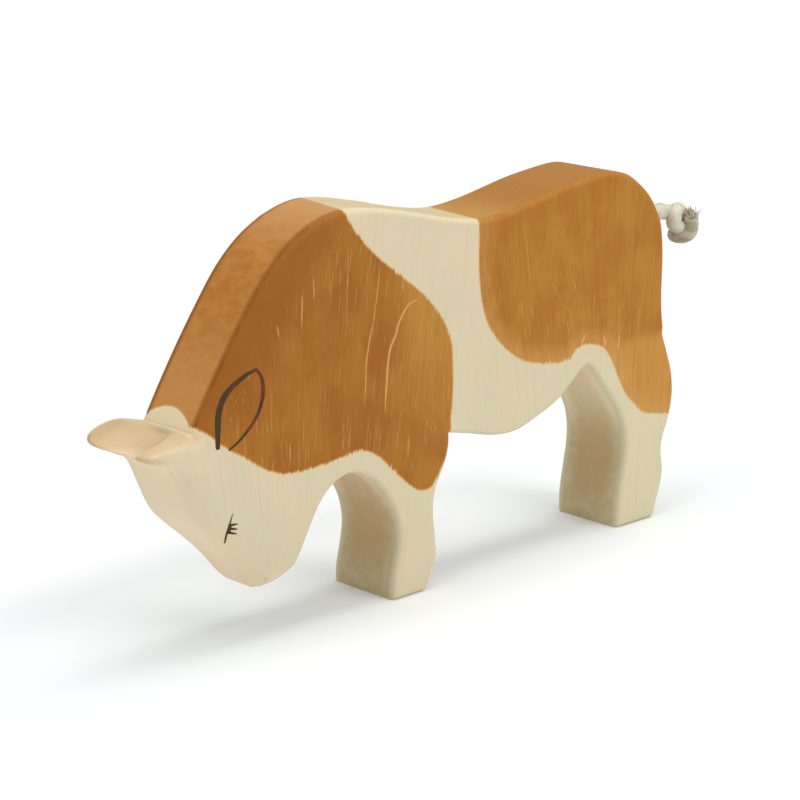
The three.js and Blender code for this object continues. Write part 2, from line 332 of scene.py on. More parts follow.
# %% Rounded edges
EDGE_ROUND = 1.4
FOREHEAD_ROUND = 4.6
HORN_ROUND = 2.6


def edge_round(place):
    """Radius of the near flank's rounded edge at a place on the outline: larger down the forehead and round
    the nose, and somewhat larger round the horn. The far flank keeps the plain radius."""
    along = np.arange(len(closed_outline))
    x, z = closed_outline.T
    face = smooth_step(51, 46, z) * smooth_step(-49, -53, x) * (z < 52)
    horn = smooth_step(-73, -77, x) * smooth_step(46, 51, z)
    radius = EDGE_ROUND + (FOREHEAD_ROUND - EDGE_ROUND) * face + (HORN_ROUND - EDGE_ROUND) * horn
    blur = np.hanning(15) / np.hanning(15).sum()
    radius = np.convolve(np.r_[radius[-8:-1], radius, radius[1:8]], blur, "valid")
    return np.interp(place, along, radius)


# %% Pen lines
EAR_FRONT = [(-56.9, 65.9), (-59.5, 65.1), (-61.5, 64.1), (-63.5, 62.9), (-65.2, 61.5), (-66.4, 59.9),
             (-67.3, 57.9), (-67.8, 55.8), (-68.0, 53.6), (-68.2, 51.4), (-68.3, 49.9)]
EAR_BACK = [(-56.9, 65.9), (-55.8, 64.4), (-55.2, 62.8), (-55.1, 61.0), (-55.3, 59.0), (-56.3, 56.3),
            (-58.2, 53.7), (-60.7, 51.5), (-63.2, 49.8), (-65.3, 48.8)]
EYE_LID = [(-64.6, 33.6), (-65.2, 32.2), (-65.8, 30.6), (-65.9, 28.6), (-65.2, 26.1)]
LASHES = [[(-65.7, 31.1), (-63.3, 30.9)], [(-65.8, 30.3), (-63.4, 29.7)], [(-65.9, 29.4), (-63.5, 28.5)]]
LASH_ROOTS = [(-65.3, 31.0), (-65.5, 29.2)]
PEN_STROKES = [(EAR_FRONT, [0.35, 0.6, 0.8, 0.8, 0.6]), (EAR_BACK, [0.35, 0.65, 0.52, 0.42, 0.3]),
               (EYE_LID, [0.12, 0.26, 0.28, 0.24, 0.14]), (LASH_ROOTS, [0.34, 0.34])]
PEN_STROKES += [(lash, [0.36, 0.3, 0.16]) for lash in LASHES]

# %% Pale marks in the stain
SHOULDER_RIDGE = [(-6.2, 73.9), (-8.0, 73.5), (-9.6, 72.9), (-12.3, 69.6), (-13.7, 66.2), (-15.3, 63.6),
                  (-16.1, 60.2), (-16.4, 57.0), (-16.9, 51.4), (-17.2, 48.2)]
LONG_RAY = [(-18.5, 84.9), (-19.5, 77.6), (-20.9, 70.6), (-22.0, 66.8), (-23.1, 61.4), (-23.4, 55.0),
            (-23.8, 50.5)]
SHORT_RAYS = [
    [(-28.5, 89.5), (-29.6, 68.1)], [(-30.3, 48.3), (-30.4, 40.7)], [(-34.7, 88.6), (-34.3, 78.0)],
    [(-39.5, 85.4), (-39.2, 77.1)], [(-43.0, 82.1), (-43.2, 71.5)], [(-50.6, 75.4), (-49.8, 70.5)],
    [(-18.3, 45.6), (-19.1, 39.2)], [(-47.1, 46.7), (-47.2, 40.8)], [(45.6, 67.9), (45.8, 61.0)],
    [(41.2, 70.8), (42.3, 67.0)], [(48.5, 70.0), (49.9, 65.8)], [(29.0, 68.4), (30.1, 62.9)],
    [(33.1, 67.1), (34.0, 61.2)], [(46.1, 60.2), (47.2, 56.1)], [(28.2, 57.5), (28.6, 53.2)],
    [(59.3, 62.4), (59.6, 59.4)],
]
KNIFE_MARKS = [[(53.4, 55.4), (52.6, 54.0), (51.8, 53.1)], [(60.3, 53.8), (61.2, 50.7)],
               [(66.3, 52.8), (66.7, 49.0)]]
RUBBED_STROKES = [(SHOULDER_RIDGE, [0.12, 0.3, 0.36, 0.34, 0.36, 0.3, 0.12]),
                  (LONG_RAY, [0.08, 0.2, 0.18, 0.22, 0.15, 0.06])]
RUBBED_STROKES += [(ray, [0.05, 0.15, 0.13, 0.05]) for ray in SHORT_RAYS]
RUBBED_STROKES += [(mark, [0.1, 0.4, 0.3]) for mark in KNIFE_MARKS]
FAR_OFF = -9.0


def inside_strokes(strokes, points):
    """How far inside a stroke each point is, in millimetres: half the stroke's width there, less the
    distance to its middle. The widths are spread evenly along the stroke, and the widest cover wins."""
    cover = np.full(len(points), FAR_OFF)
    for line, widths in strokes:
        drawn = smooth_line(line, 0.3)
        distance, place = nearest_on(drawn, points)
        width = np.interp(place / (len(drawn) - 1), np.linspace(0, 1, len(widths)), widths)
        cover = np.maximum(cover, width - distance)
    return cover


# %% Points and triangles of a flank
def grid(x_from, x_to, z_from, z_to, step):
    """Points of a plain grid, every other row set half a step along so that triangles come out even."""
    x, z = np.meshgrid(np.arange(x_from, x_to, step), np.arange(z_from, z_to, step * 0.87))
    x = x + (np.arange(len(x)) % 2)[:, None] * step / 2
    return np.column_stack([x.ravel(), z.ravel()])


def in_box(points, box):
    """True where a point lies within a box given as lowest x, highest x, lowest z and highest z."""
    x, z = points.T
    return (x > box[0]) & (x < box[1]) & (z > box[2]) & (z < box[3])


def beside(strokes, offsets, step):
    """Points along strokes and at the given offsets to both sides, so that a thin stroke keeps its edges."""
    points = []
    for line, _ in strokes:
        drawn = smooth_line(line, step)
        ahead = np.gradient(drawn, axis=0)
        aside = np.column_stack([-ahead[:, 1], ahead[:, 0]]) / np.linalg.norm(ahead, axis=1)[:, None]
        points += [drawn + offset * aside for offset in offsets]
    return np.vstack(points)


EAR_BOX = (-70.6, -53.2, 47.4, 67.6)
EYE_BOX = (-68.2, -62.0, 26.2, 34.4)
PLAIN_STEP, STROKE_STEP, EAR_STEP, EYE_STEP = 0.95, 0.5, 0.3, 0.13
STROKE_OFFSETS = (-0.7, -0.32, -0.12, 0.12, 0.32, 0.7)
CLEAR_OF_STROKE, CLEAR_OF_ROUND, CLEAR_OF_EDGE = 0.85, 0.35, 0.3
plain = grid(-90, 90, 0, 99, PLAIN_STEP)
near_stroke = inside_strokes(RUBBED_STROKES, plain) > -CLEAR_OF_STROKE
plain = plain[~in_box(plain, EAR_BOX) & ~in_box(plain, EYE_BOX) & ~near_stroke]
stroke_points = beside(RUBBED_STROKES, STROKE_OFFSETS, STROKE_STEP)
sheet = np.vstack([plain, stroke_points, grid(*EAR_BOX, EAR_STEP)])
sheet = sheet[inside(outline, sheet)]
gap, place = nearest_on(closed_outline, sheet)
sheet = sheet[gap > edge_round(place) + CLEAR_OF_ROUND]
eye_points = grid(*EYE_BOX, EYE_STEP)
gap, _ = nearest_on(closed_outline, eye_points)
sheet = np.vstack([sheet, eye_points[inside(outline, eye_points) & (gap > CLEAR_OF_EDGE)]])

tangent = np.roll(outline, -1, axis=0) - np.roll(outline, 1, axis=0)
inward = np.column_stack([-tangent[:, 1], tangent[:, 0]]) / np.linalg.norm(tangent, axis=1)[:, None]
round_here = edge_round(np.arange(len(outline)))
rings = []
# A point of a ring is left out where another part of the edge lies nearer.
for turn in np.linspace(0, np.pi / 2, 8)[1:]:
    depth = round_here * (1 - np.cos(turn))
    ring = outline + inward * depth[:, None]
    gap, _ = nearest_on(closed_outline, ring)
    rings.append(ring[(gap > 0.93 * depth) & inside(outline, ring)])

drawn_points = np.vstack([outline, *rings, sheet])
count = len(outline)
loop = [(i, (i + 1) % count) for i in range(count)]
made = delaunay_2d_cdt([Vector(q) for q in drawn_points], loop, [list(range(count))], 1, 1e-5)
flat = np.array([tuple(v) for v in made[0]])
triangles = np.array([f for f in made[2] if len(f) == 3])
came_from = [min(source) if source else -1 for source in made[3]]
order = np.argsort([q if 0 <= q < count else count + i for i, q in enumerate(came_from)], kind="stable")
flat = flat[order]
renamed = np.empty(len(order), int)
renamed[order] = np.arange(len(order))
triangles = renamed[triangles]
print("flank: %d points, %d triangles, outline kept: %s" % (
    len(flat), len(triangles), np.allclose(flat[:count], outline, atol=1e-4)))

# %% [markdown]
# ## The band of wood between the flanks
#
# The sawn edge of the board is a band that follows the outline. Its cross rows run from flank to flank, and
# its first and last rows are the flanks' own edge points, so the body has no seam. Where a gouge has parted
# the horns, each row's outline is pressed down onto the gouge's floor.

# %% Thickness at every point
to_edge, place = nearest_on(closed_outline, flat)


def rounded_side(radius):
    """How far a flank's points stand from the middle of the board: the half thickness, less the fall of a
    quarter round of the given radius along the edge."""
    turned = np.clip(radius - to_edge, 0, None)
    return half_thickness(*flat.T) - (radius - np.sqrt(np.maximum(radius**2 - turned**2, 0)))


near_side = rounded_side(edge_round(place))
far_side = rounded_side(np.full(len(flat), EDGE_ROUND))
near_rim, far_rim = near_side[:count], far_side[:count]

# %% The gouge between the horns
HOLLOW_REAR = np.array([-74.0, 52.8])
HOLLOW_FRONT = np.array([-84.5, 48.6])
HOLLOW_RADIUS = 12.0
HOLLOW_HALF_WIDTH = 8.3
HOLLOW_SOFTNESS = 0.25
HORN_HALF_WIDTH = 9.6
HORN_COUNT = len(smooth_line(HORN_LINE[:13], OUTLINE_STEP))
HORN_DROP = 2.1


def horn_lowered(line, share):
    """The near horn is pared lower than the far one. The drop grows towards the horn's top and its tip, and
    fades out from the near flank towards the middle of the board."""
    drop = HORN_DROP * smooth_step(-73.6, -79.5, line[:, 0]) * smooth_step(50, 55, line[:, 1])
    return line - np.column_stack([np.zeros(len(line)), drop * smooth_step(-0.2, -1.0, share)])


def gouged(line, y):
    """A horn's outline after the gouge has passed, at one distance from the middle of the board.

    The floor is a straight line that rises away from the middle as a circle does, and climbs out near each
    side. Points above it drop onto it, softly, and no further forward than where it leaves the underside.
    The points are then spaced evenly again.
    """
    ahead = (HOLLOW_FRONT - HOLLOW_REAR) / np.linalg.norm(HOLLOW_FRONT - HOLLOW_REAR)
    up = np.array([ahead[1], -ahead[0]])
    rise = HOLLOW_RADIUS - np.sqrt(HOLLOW_RADIUS**2 - y**2) + 6 * max(abs(y) - HOLLOW_HALF_WIDTH, 0)**2
    forward, height = (line - HOLLOW_REAR) @ ahead, (line - HOLLOW_REAR) @ up - rise
    under = len(line) // 2
    crossing = np.where(height[under:] < 0)[0]
    exit_at = forward[under + crossing[0]] if len(crossing) else forward.max()
    lowered = -HOLLOW_SOFTNESS * np.log1p(np.exp(-np.clip(height / HOLLOW_SOFTNESS, -60, 60)))
    held = np.where(height > 0, np.minimum(forward, exit_at), forward)
    cut = HOLLOW_REAR + held[:, None] * ahead + (lowered + rise)[:, None] * up
    blend = smooth_step(0, 1.5, forward)[:, None]
    cut = line * (1 - blend) + cut * blend
    cut[0], cut[-1] = line[0], line[-1]
    run = np.r_[0, np.cumsum(np.linalg.norm(np.diff(cut, axis=0), axis=1) + 1e-6)]
    even = np.linspace(0, run[-1], len(line))
    return np.column_stack([np.interp(even, run, cut[:, k]) for k in (0, 1)])


# %% Rows of the band
ROWS = 30
across = np.sin(np.linspace(-1, 1, ROWS + 1) * np.pi / 2 * 0.8) / np.sin(np.pi / 2 * 0.8)
band = np.empty((ROWS - 1, count, 3))
for row, share in enumerate(across[1:-1]):
    line = horn_lowered(outline, share)
    line[:HORN_COUNT] = gouged(line[:HORN_COUNT], share * HORN_HALF_WIDTH)
    band[row] = np.column_stack([line[:, 0], (1 + share) / 2 * (near_rim + far_rim) - near_rim, line[:, 1]])
print("band: %d rows of %d points" % (ROWS + 1, count))

# %% [markdown]
# ## The bore for the tail
#
# The tail is glued into a drilled hole, and the thin dark ring round the cord shows it. The hole is let into
# the band by leaving out a square of its cells and closing the gap with rings that go from square to circle
# and on down the bore.

# %% Join the flanks, the band and the bore
BORE_RADIUS = 2.6
BORE_DEPTH = 18.5
DRILL_POINT = 1.5
MOUTH_ROUND = 0.3
WINDOW_STEPS = 5
WINDOW_HALF_WIDTH = 3.9
TAIL_SEAT = np.array([82.2, 0.0, 80.0])

size = len(flat)
near = np.insert(horn_lowered(flat, -1.0), 1, -near_side, axis=1)
far = np.insert(flat, 1, far_side, axis=1)
index = np.vstack([np.arange(count), 2 * size + np.arange((ROWS - 1) * count).reshape(ROWS - 1, count),
                   size + np.arange(count)])
on_rump = np.where((outline[:, 0] > 75) & (outline[:, 1] > 70) & (outline[:, 1] < 90))[0]
middle = on_rump[np.abs(outline[on_rump, 1] - TAIL_SEAT[2]).argmin()]
rows = np.where(np.abs(across * far_rim[middle]) < WINDOW_HALF_WIDTH)[0]
first_row, last_row = rows[0], rows[-1]
first, last = middle - WINDOW_STEPS, middle + WINDOW_STEPS
cells = np.ones((ROWS, count), bool)
cells[first_row:last_row, first:last] = False
j, i = np.nonzero(cells)
k = (i + 1) % count
quads = np.column_stack([index[j, i], index[j + 1, i], index[j + 1, k], index[j, k]])

square = np.r_[index[first_row, first:last], index[first_row:last_row, last],
               index[last_row, last:first:-1], index[last_row:first_row:-1, first]]
places = np.vstack([near, far, band.reshape(-1, 3)])
corner = places[square]
angle = np.arctan2(corner[:, 2] - TAIL_SEAT[2], corner[:, 1])


def circle(radius):
    """Places across and up on a circle about the bore, each in line with its own point of the square."""
    return np.column_stack([radius * np.cos(angle), TAIL_SEAT[2] + radius * np.sin(angle)])


def on_face(places, inset=0.0):
    """Points at the given places across and up, on the rump's sawn face or a little inside it."""
    by_height = on_rump[np.argsort(outline[on_rump, 1])]
    x = np.interp(places[:, 1], outline[by_height, 1], outline[by_height, 0])
    return np.column_stack([x - inset, places])


bore = [on_face((1 - share) * corner[:, 1:] + share * circle(BORE_RADIUS + MOUTH_ROUND))
        for share in (0.35, 0.7, 1.0)]
bore.append(on_face(circle(BORE_RADIUS + 0.3 * MOUTH_ROUND), 0.3 * MOUTH_ROUND))
bore.append(on_face(circle(BORE_RADIUS), MOUTH_ROUND))
for radius, depth in ((BORE_RADIUS, BORE_DEPTH / 2), (BORE_RADIUS, BORE_DEPTH),
                      (0.05, BORE_DEPTH + DRILL_POINT)):
    bore.append(np.column_stack([np.full(len(angle), TAIL_SEAT[0] - depth), circle(radius)]))

ringed = len(square)
start = len(places)
ring_index = np.vstack([square, start + np.arange(len(bore) * ringed).reshape(len(bore), ringed)])
j, i = np.nonzero(np.ones((len(bore), ringed), bool))
bore_quads = np.column_stack([ring_index[j, i], ring_index[j, (i + 1) % ringed],
                              ring_index[j + 1, (i + 1) % ringed], ring_index[j + 1, i]])
places = np.vstack([places, *bore])
faces = [*triangles.tolist(), *(triangles[:, ::-1] + size).tolist(), *quads.tolist(), *bore_quads.tolist(),
         ring_index[-1].tolist()]
print("body: %d points, %d faces" % (len(places), len(faces)))

# %% [markdown]
# ## Where the stain lies
#
# The coat is a thin brown stain, wiped by hand over the neck and the rump. The belly, the head and the legs
# are left pale. Every point of the body stores how far inside the stain it lies, and the material turns that
# distance into colour, so the edge stays crisp however far apart the points are. A second number says how
# level the edge runs there, because stain creeps along the upright grain and leaves teeth on a level edge.

# %% Distance inside the stain
SHOULDER_EDGE = [
    (-29.3, 98.8), (-25.7, 92.6), (-20.1, 87.0), (-13.5, 81.8), (-6.0, 76.3), (-0.9, 71.7), (3.6, 66.2),
    (6.2, 60.3), (7.0, 51.5), (6.8, 44.5), (5.2, 36.6), (2.0, 30.4), (-1.5, 26.3), (-5.8, 26.3),
    (-10.1, 29.2), (-16.1, 34.8), (-20.2, 38.2), (-25.2, 40.2), (-31.8, 39.7), (-39.0, 39.1), (-48.5, 39.5),
    (-54.6, 41.7), (-61.4, 46.2), (-65.9, 48.9), (-70.3, 52.7), (-75.3, 56.1),
]
RUMP_EDGE = [
    (14.1, 90.5), (14.3, 86.7), (14.2, 81.1), (14.6, 74.7), (16.1, 68.1), (18.8, 62.5), (23.4, 57.2),
    (28.9, 53.0), (32.7, 51.3), (41.1, 49.5), (46.3, 49.4), (48.2, 49.6), (49.2, 51.1), (51.4, 52.2),
    (55.0, 52.1), (59.2, 50.9), (61.8, 49.2), (64.3, 45.7), (67.4, 39.6), (70.3, 35.4), (75.2, 30.9),
    (78.0, 29.4), (86.3, 27.7), (92.0, 26.7),
]
ABOVE_SHOULDER = [(-84, 60), (-70, 90), (-45, 110), (-29, 110)]
ABOVE_RUMP = [(98, 27), (98, 110), (14, 110)]
SHOULDER_SLANT = 4.4
RUMP_SLANT = 3.4
ARCH_RISE, ARCH_MIDDLE, ARCH_HALF_WIDTH = 4.7, 1.0, 9.3


def inside_patch(edge, beyond, x, z):
    """How far inside a patch of stain a point lies, and how level the nearest part of its edge is.

    The edge is drawn as a smooth line, and closed through points well outside the bull. The distance is
    negative outside the patch.
    """
    drawn = smooth_line(edge, 1.0)
    points = np.column_stack([x, z])
    distance, place = nearest_on(drawn, points)
    step = np.diff(drawn, axis=0)
    level = np.abs(step[:, 0]) / np.linalg.norm(step, axis=1)
    within = inside(np.vstack([drawn, beyond]), points)
    return np.where(within, distance, -distance), level[np.minimum(place.astype(int), len(level) - 1)]


x, y, z = places.T
slant = (y + FLANK) / (2 * FLANK) * smooth_step(60, 75, z)
on_shoulder, shoulder_level = inside_patch(SHOULDER_EDGE, ABOVE_SHOULDER, x - SHOULDER_SLANT * slant, z)
on_rump_patch, rump_level = inside_patch(RUMP_EDGE, ABOVE_RUMP, x - RUMP_SLANT * slant, z)

# Between the horns the stain ends above an arch of bare wood.
on_band = np.arange(len(places)) >= 2 * size
foot_x, foot_z = CREST_LINE[-1]
up_crest = np.hypot(x - foot_x, z - foot_z) * np.sign(z - foot_z)
arch_top = ARCH_RISE * (1 - ((y - ARCH_MIDDLE) / ARCH_HALF_WIDTH)**2)
at_crest_foot = on_band & (x > foot_x - 0.3) & (x < -58) & (z > 53) & (z < 76)
on_shoulder = np.where(at_crest_foot, np.minimum(on_shoulder, up_crest - arch_top), on_shoulder)
stain_edge = np.maximum(on_shoulder, on_rump_patch)
stain_level = np.where(on_shoulder > on_rump_patch, shoulder_level, rump_level)
on_side = np.column_stack([x, z])
ink_edge = np.where(on_band, FAR_OFF, inside_strokes(PEN_STROKES, on_side))
rubbed_edge = np.where(on_band, FAR_OFF, inside_strokes(RUBBED_STROKES, on_side))
into_band = np.minimum(band[..., 1] + near_rim, far_rim - band[..., 1])
from_ridge = np.concatenate([to_edge, to_edge, -into_band.ravel(), np.full(len(bore) * ringed, FAR_OFF)])
stored = {"stain_edge": stain_edge, "stain_level": stain_level, "ink_edge": ink_edge,
          "rubbed_edge": rubbed_edge, "from_ridge": from_ridge}
print("stained share of the points: %.2f, inked: %d points" % (
    (stain_edge > 0).mean(), (ink_edge > 0).sum()))

# %% [markdown]
# ## The wood's finish
#
# The wood is pale and close-grained, like maple or lime. Its grain runs upright, along the legs, so that the
# legs are strong: the flanks show fine upright streaks, and the back and the soles show end grain. The stain
# soaks in unevenly, pools in a dark line along the sharp ridges, and leaves short pale flecks where a ray of
# hard cells took none. The pen's ink is nearly black where it is thick and reddish where it is thin.
#
# The finish is built up as a painter builds it: one colour is laid over another, in a share that comes from
# the place on the bull and from patterns of noise.

# %% Layers of a finish
def share_of(tree, *parts):
    """The product of several parts. A part is a number or an output, or a tuple that holds a value and the
    two levels between which it goes smoothly from 0 to 1, or from the fourth number to the fifth."""
    share = None
    for part in parts:
        if isinstance(part, tuple):
            part = node(tree, "MapRange", dict(enumerate(part)), interpolation_type="SMOOTHSTEP")
        share = part if share is None else node(tree, "Math", {0: share, 1: part}, operation="MULTIPLY")
    return share


def sum_of(tree, *parts):
    """The sum of several parts. A part is a number or an output, or a tuple of two that are multiplied."""
    total = 0.0
    for part in parts:
        first, second = part if isinstance(part, tuple) else (part, 1.0)
        total = node(tree, "Math", {0: first, 1: second, 2: total}, operation="MULTIPLY_ADD")
    return total


def laid_over(tree, under, over, *parts):
    """One colour with another laid over it, in the share that the parts make. A colour is written as
    #RRGGBB, or is an output."""
    under, over = (linear(colour) if isinstance(colour, str) else colour for colour in (under, over))
    return node(tree, "Mix", {0: share_of(tree, *parts), 6: under, 7: over}, data_type="RGBA").outputs[2]


def grain(tree, place, sizes, detail=2.0, roughness=0.5):
    """Noise from 0 to 1 whose cells measure the given millimetres along x, y and z."""
    scaled = node(tree, "VectorMath", {0: place, 1: tuple(1 / (MM * s) for s in sizes)}, operation="MULTIPLY")
    return node(tree, "TexNoise", {"Vector": scaled, "Scale": 1.0, "Detail": detail, "Roughness": roughness})


# %% The direction of the grain
GRAIN_WAVE, GRAIN_WAVE_START = 110 * MM, 8 * MM
GRAIN_LEAN, UPRIGHT_HEIGHT = 0.14, 60 * MM

maple, tree = new_material("stained_maple")
upright = node(tree, "TexCoord").outputs["Object"]
ALONG, ACROSS, HEIGHT = node(tree, "SeparateXYZ", {0: upright}).outputs
turn = sum_of(tree, (ALONG, 2 * np.pi / GRAIN_WAVE), -2 * np.pi * GRAIN_WAVE_START / GRAIN_WAVE)
wave = node(tree, "Math", {0: turn}, operation="SINE")
lean = share_of(tree, wave, GRAIN_LEAN, sum_of(tree, HEIGHT, -UPRIGHT_HEIGHT))
place = node(tree, "CombineXYZ", {0: sum_of(tree, ALONG, lean), 1: ACROSS, 2: HEIGHT})

# %% Bare wood
stain_depth, stain_run, ink_depth, rubbed_depth, ridge = (
    node(tree, "Attribute", attribute_name=name).outputs["Fac"] for name in stored)
streaks = grain(tree, place, (0.9, 0.9, 30), 3.0, 0.6)
tone = grain(tree, upright, (16, 16, 24))
pores = grain(tree, place, (0.3, 0.3, 9), 1.0)
mottle = grain(tree, upright, (2.2, 3.0, 2.2))
sawn = share_of(tree, (ridge, 0.3, -1.2))
pale = laid_over(tree, "#D6CAA9", "#DDC9AA", (tone, 0.35, 0.65))
pale = laid_over(tree, pale, "#C4B68E", (streaks, 0.5, 0.8, 0.0, 0.35))
# The sawn edge is end grain and browner. Painted bounce light makes it brightest under the body, and painted
# shade makes it darkest down the legs' fronts.
sawn_with_painted_light_and_shade = laid_over(tree, "#D2BF98", "#C8B38A", (mottle, 0.3, 0.75))
sawn_with_painted_light_and_shade = laid_over(tree, sawn_with_painted_light_and_shade, "#EAD8B6", (HEIGHT, 0.018, 0.034, 0.0, 0.85), (HEIGHT, 0.07, 0.055))
# Painted shade: darker down the legs' fronts, where the body hangs over them.
sawn_with_painted_light_and_shade = laid_over(tree, sawn_with_painted_light_and_shade, "#C6A67B", (ridge, -0.5, -5.5), (HEIGHT, 0.001, 0.011),
                      (HEIGHT, 0.055, 0.012, 0.1, 1.0), (mottle, 0.2, 0.6, 0.72, 0.92))
pale = laid_over(tree, pale, sawn_with_painted_light_and_shade, sawn)
# The forehead is sanded smooth and pale, and it is painted paler still: painted light on a face that the
# lamps barely reach. The gouged horn below the crest is coloured browner.
pale = laid_over(tree, pale, "#F3DCB8", (ALONG, -0.045, -0.052), (ridge, 5.0, -2.5))
below_crest = node(tree, "Math", {0: share_of(tree, (HEIGHT, 0.0545, 0.0525)),
                                  1: share_of(tree, (ALONG, -0.0735, -0.0755))}, operation="MAXIMUM")
pale = laid_over(tree, pale, "#D3B791", (ALONG, -0.061, -0.073), (HEIGHT, 0.0475, 0.0505), below_crest,
                 (ridge, 3.0, 0.3))

# %% Stain
creep = sum_of(tree, grain(tree, place, (0.4, 0.4, 6), 2.0, 0.7), -0.5)
reach = share_of(tree, (grain(tree, upright, (9, 9, 9), 1.0), 0.4, 0.65, 0.25, 1.0),
                 sum_of(tree, (stain_run, 2.6), 0.7), (ridge, -1.0, 0.5, 0.3, 1.0))
depth = sum_of(tree, stain_depth, (creep, reach))

patches = grain(tree, upright, (9, 9, 14), 3.0, 0.6)
rump = share_of(tree, (ALONG, 0.0, 0.03))
brown = laid_over(tree, "#A0601E", "#AA6D25", (patches, 0.35, 0.65))
brown = laid_over(tree, brown, laid_over(tree, "#AD6F25", "#B77B31", (patches, 0.35, 0.65)), rump)
# It is thinner down the thigh and along the wiped edge of the rump. Behind the shoulder it is lighter, partly
# thinner stain and partly painted light on the pared facet.
brown = laid_over(tree, brown, "#BF8A3C", (ALONG, -0.018, -0.004), (ALONG, 0.014, 0.008),
                  (HEIGHT, 0.035, 0.07, 0.15, 0.75))
brown = laid_over(tree, brown, "#C58B40", (ALONG, 0.047, 0.057), (HEIGHT, 0.053, 0.048))
brown = laid_over(tree, brown, "#CF9A58", (depth, 6.0, 0.5, 0.0, 0.5), rump)
# It is darker in the grain's streaks and on the pared facet of the neck, and rays and pores fleck it.
brown = laid_over(tree, brown, "#9F5F20", (streaks, 0.45, 0.75, 0.0, 0.4))
brown = laid_over(tree, brown, "#985A1D", (ridge, 13.0, 5.0), (ALONG, -0.022, -0.042),
                  (HEIGHT, 0.046, 0.066, 0.0, 0.8))
brown = laid_over(tree, brown, "#D29B54", (pores, 0.62, 0.74), (stain_depth, 26.0, 3.0, 0.2, 0.65),
                  (ridge, 1.5, 9.0))
brown = laid_over(tree, brown, "#8A5019", (pores, 0.32, 0.2, 0.0, 0.45))

# %% Stain on the back and the ridges
back = laid_over(tree, "#C5813D", "#B8742F", (mottle, 0.3, 0.7))
back = laid_over(tree, back, laid_over(tree, "#AA7230", "#B88946", (ALONG, 0.036, 0.016)), rump)
# The hump and the lower crest are lighter.
back = laid_over(tree, back, "#C08E58", (ALONG, -0.052, -0.028), (ALONG, 0.0, -0.01))
back = laid_over(tree, back, "#D3914F", (HEIGHT, 0.08, 0.058), (ALONG, -0.03, -0.045, 0.0, 0.8))
brown = laid_over(tree, brown, back, sawn)
off_ridge = node(tree, "Math", {0: sum_of(tree, ridge, -0.15)}, operation="ABSOLUTE")
brown = laid_over(tree, brown, "#7E4A1A", (off_ridge, 0.18, 0.02), (mottle, 0.35, 0.6, 0.1, 0.75),
                  (ALONG, -0.034, -0.044))
rubbed = sum_of(tree, rubbed_depth, (creep, 0.4))
brown = laid_over(tree, brown, "#D9A05C", (rubbed, -0.08, 0.1, 0.0, 0.85))
brown = laid_over(tree, "#D9A868", brown, (depth, 0.05, 0.6))
stained = share_of(tree, (depth, -0.1, 0.12))
coat = laid_over(tree, pale, brown, stained)

# %% Ink
ink = laid_over(tree, "#4A381D", "#6E351B", (grain(tree, upright, (4, 4, 6)), 0.56, 0.42),
                (HEIGHT, 0.04, 0.046))
inked = sum_of(tree, ink_depth, (grain(tree, upright, (0.5, 0.5, 0.7)), 0.16), -0.08)
coat = laid_over(tree, coat, ink, (inked, -0.05, 0.06))

# %% Shine and relief of the wood
shine = sum_of(tree, share_of(tree, (streaks, 0.3, 0.7, 0.55, 0.66)), (stained, -0.05))
relief = sum_of(tree, (streaks, 0.02), (pores, 0.012), (tone, 0.2))
bump = node(tree, "Bump", {"Height": relief, "Distance": MM, "Strength": 1.0})
give_surface(tree, {"Base Color": coat, "Roughness": shine, "Specular IOR Level": 0.14, "Normal": bump})

# %% The carved bull
bull = new_piece("carved_bull", places, faces, maple)
for name, values in stored.items():
    attribute = bull.data.attributes.new(name, "FLOAT", "POINT")
    attribute.data.foreach_set("value", values.astype(np.float32))
bull.data.set_sharp_from_angle(angle=np.radians(38))
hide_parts("body")
print("carved_bull: %d faces" % len(bull.data.polygons))

# %% [markdown]
# ## The tail
#
# The tail is a soft cotton cord, 4.6 mm thick, tied in one overhand knot and cut short. It is laid from three
# strands, each twisted from fine yarns. A free end frays until the knot stops it. The knot's turns are placed
# as they show from the camera: to the right, up, and away from it. The turns behind are a guess.

# %% A laid cord along a line
STRANDS = 3
CORD_RADIUS = 2.3


def tube_points(line, turn, reach):
    """Rings of points round a line, at each turn of the ring and off the line by the reach there.

    The rings don't twist as they go: their sideways direction is each time the one before it, less its part
    along the line."""
    ahead = np.gradient(line, axis=0)
    ahead /= np.linalg.norm(ahead, axis=1)[:, None]
    across = np.empty_like(line)
    sideways = np.cross(ahead[0], (0.0, 0.0, 1.0))
    for i, way in enumerate(ahead):
        sideways = sideways - way * (sideways @ way)
        sideways /= np.linalg.norm(sideways)
        across[i] = sideways
    up = np.cross(ahead, across)
    return line[:, None] + reach[..., None] * (np.cos(turn)[:, None] * across[:, None]
                                               + np.sin(turn)[:, None] * up[:, None])


def tube_faces(rings, around, start=0):
    """Four-sided faces between the rings of a tube, whose points are counted ring by ring from a start."""
    i, j = (a.ravel() for a in np.meshgrid(np.arange(rings - 1), np.arange(around), indexing="ij"))
    here, beside = start + i * around + j, start + i * around + (j + 1) % around
    return np.column_stack([here, beside, beside + around, here + around]).tolist()


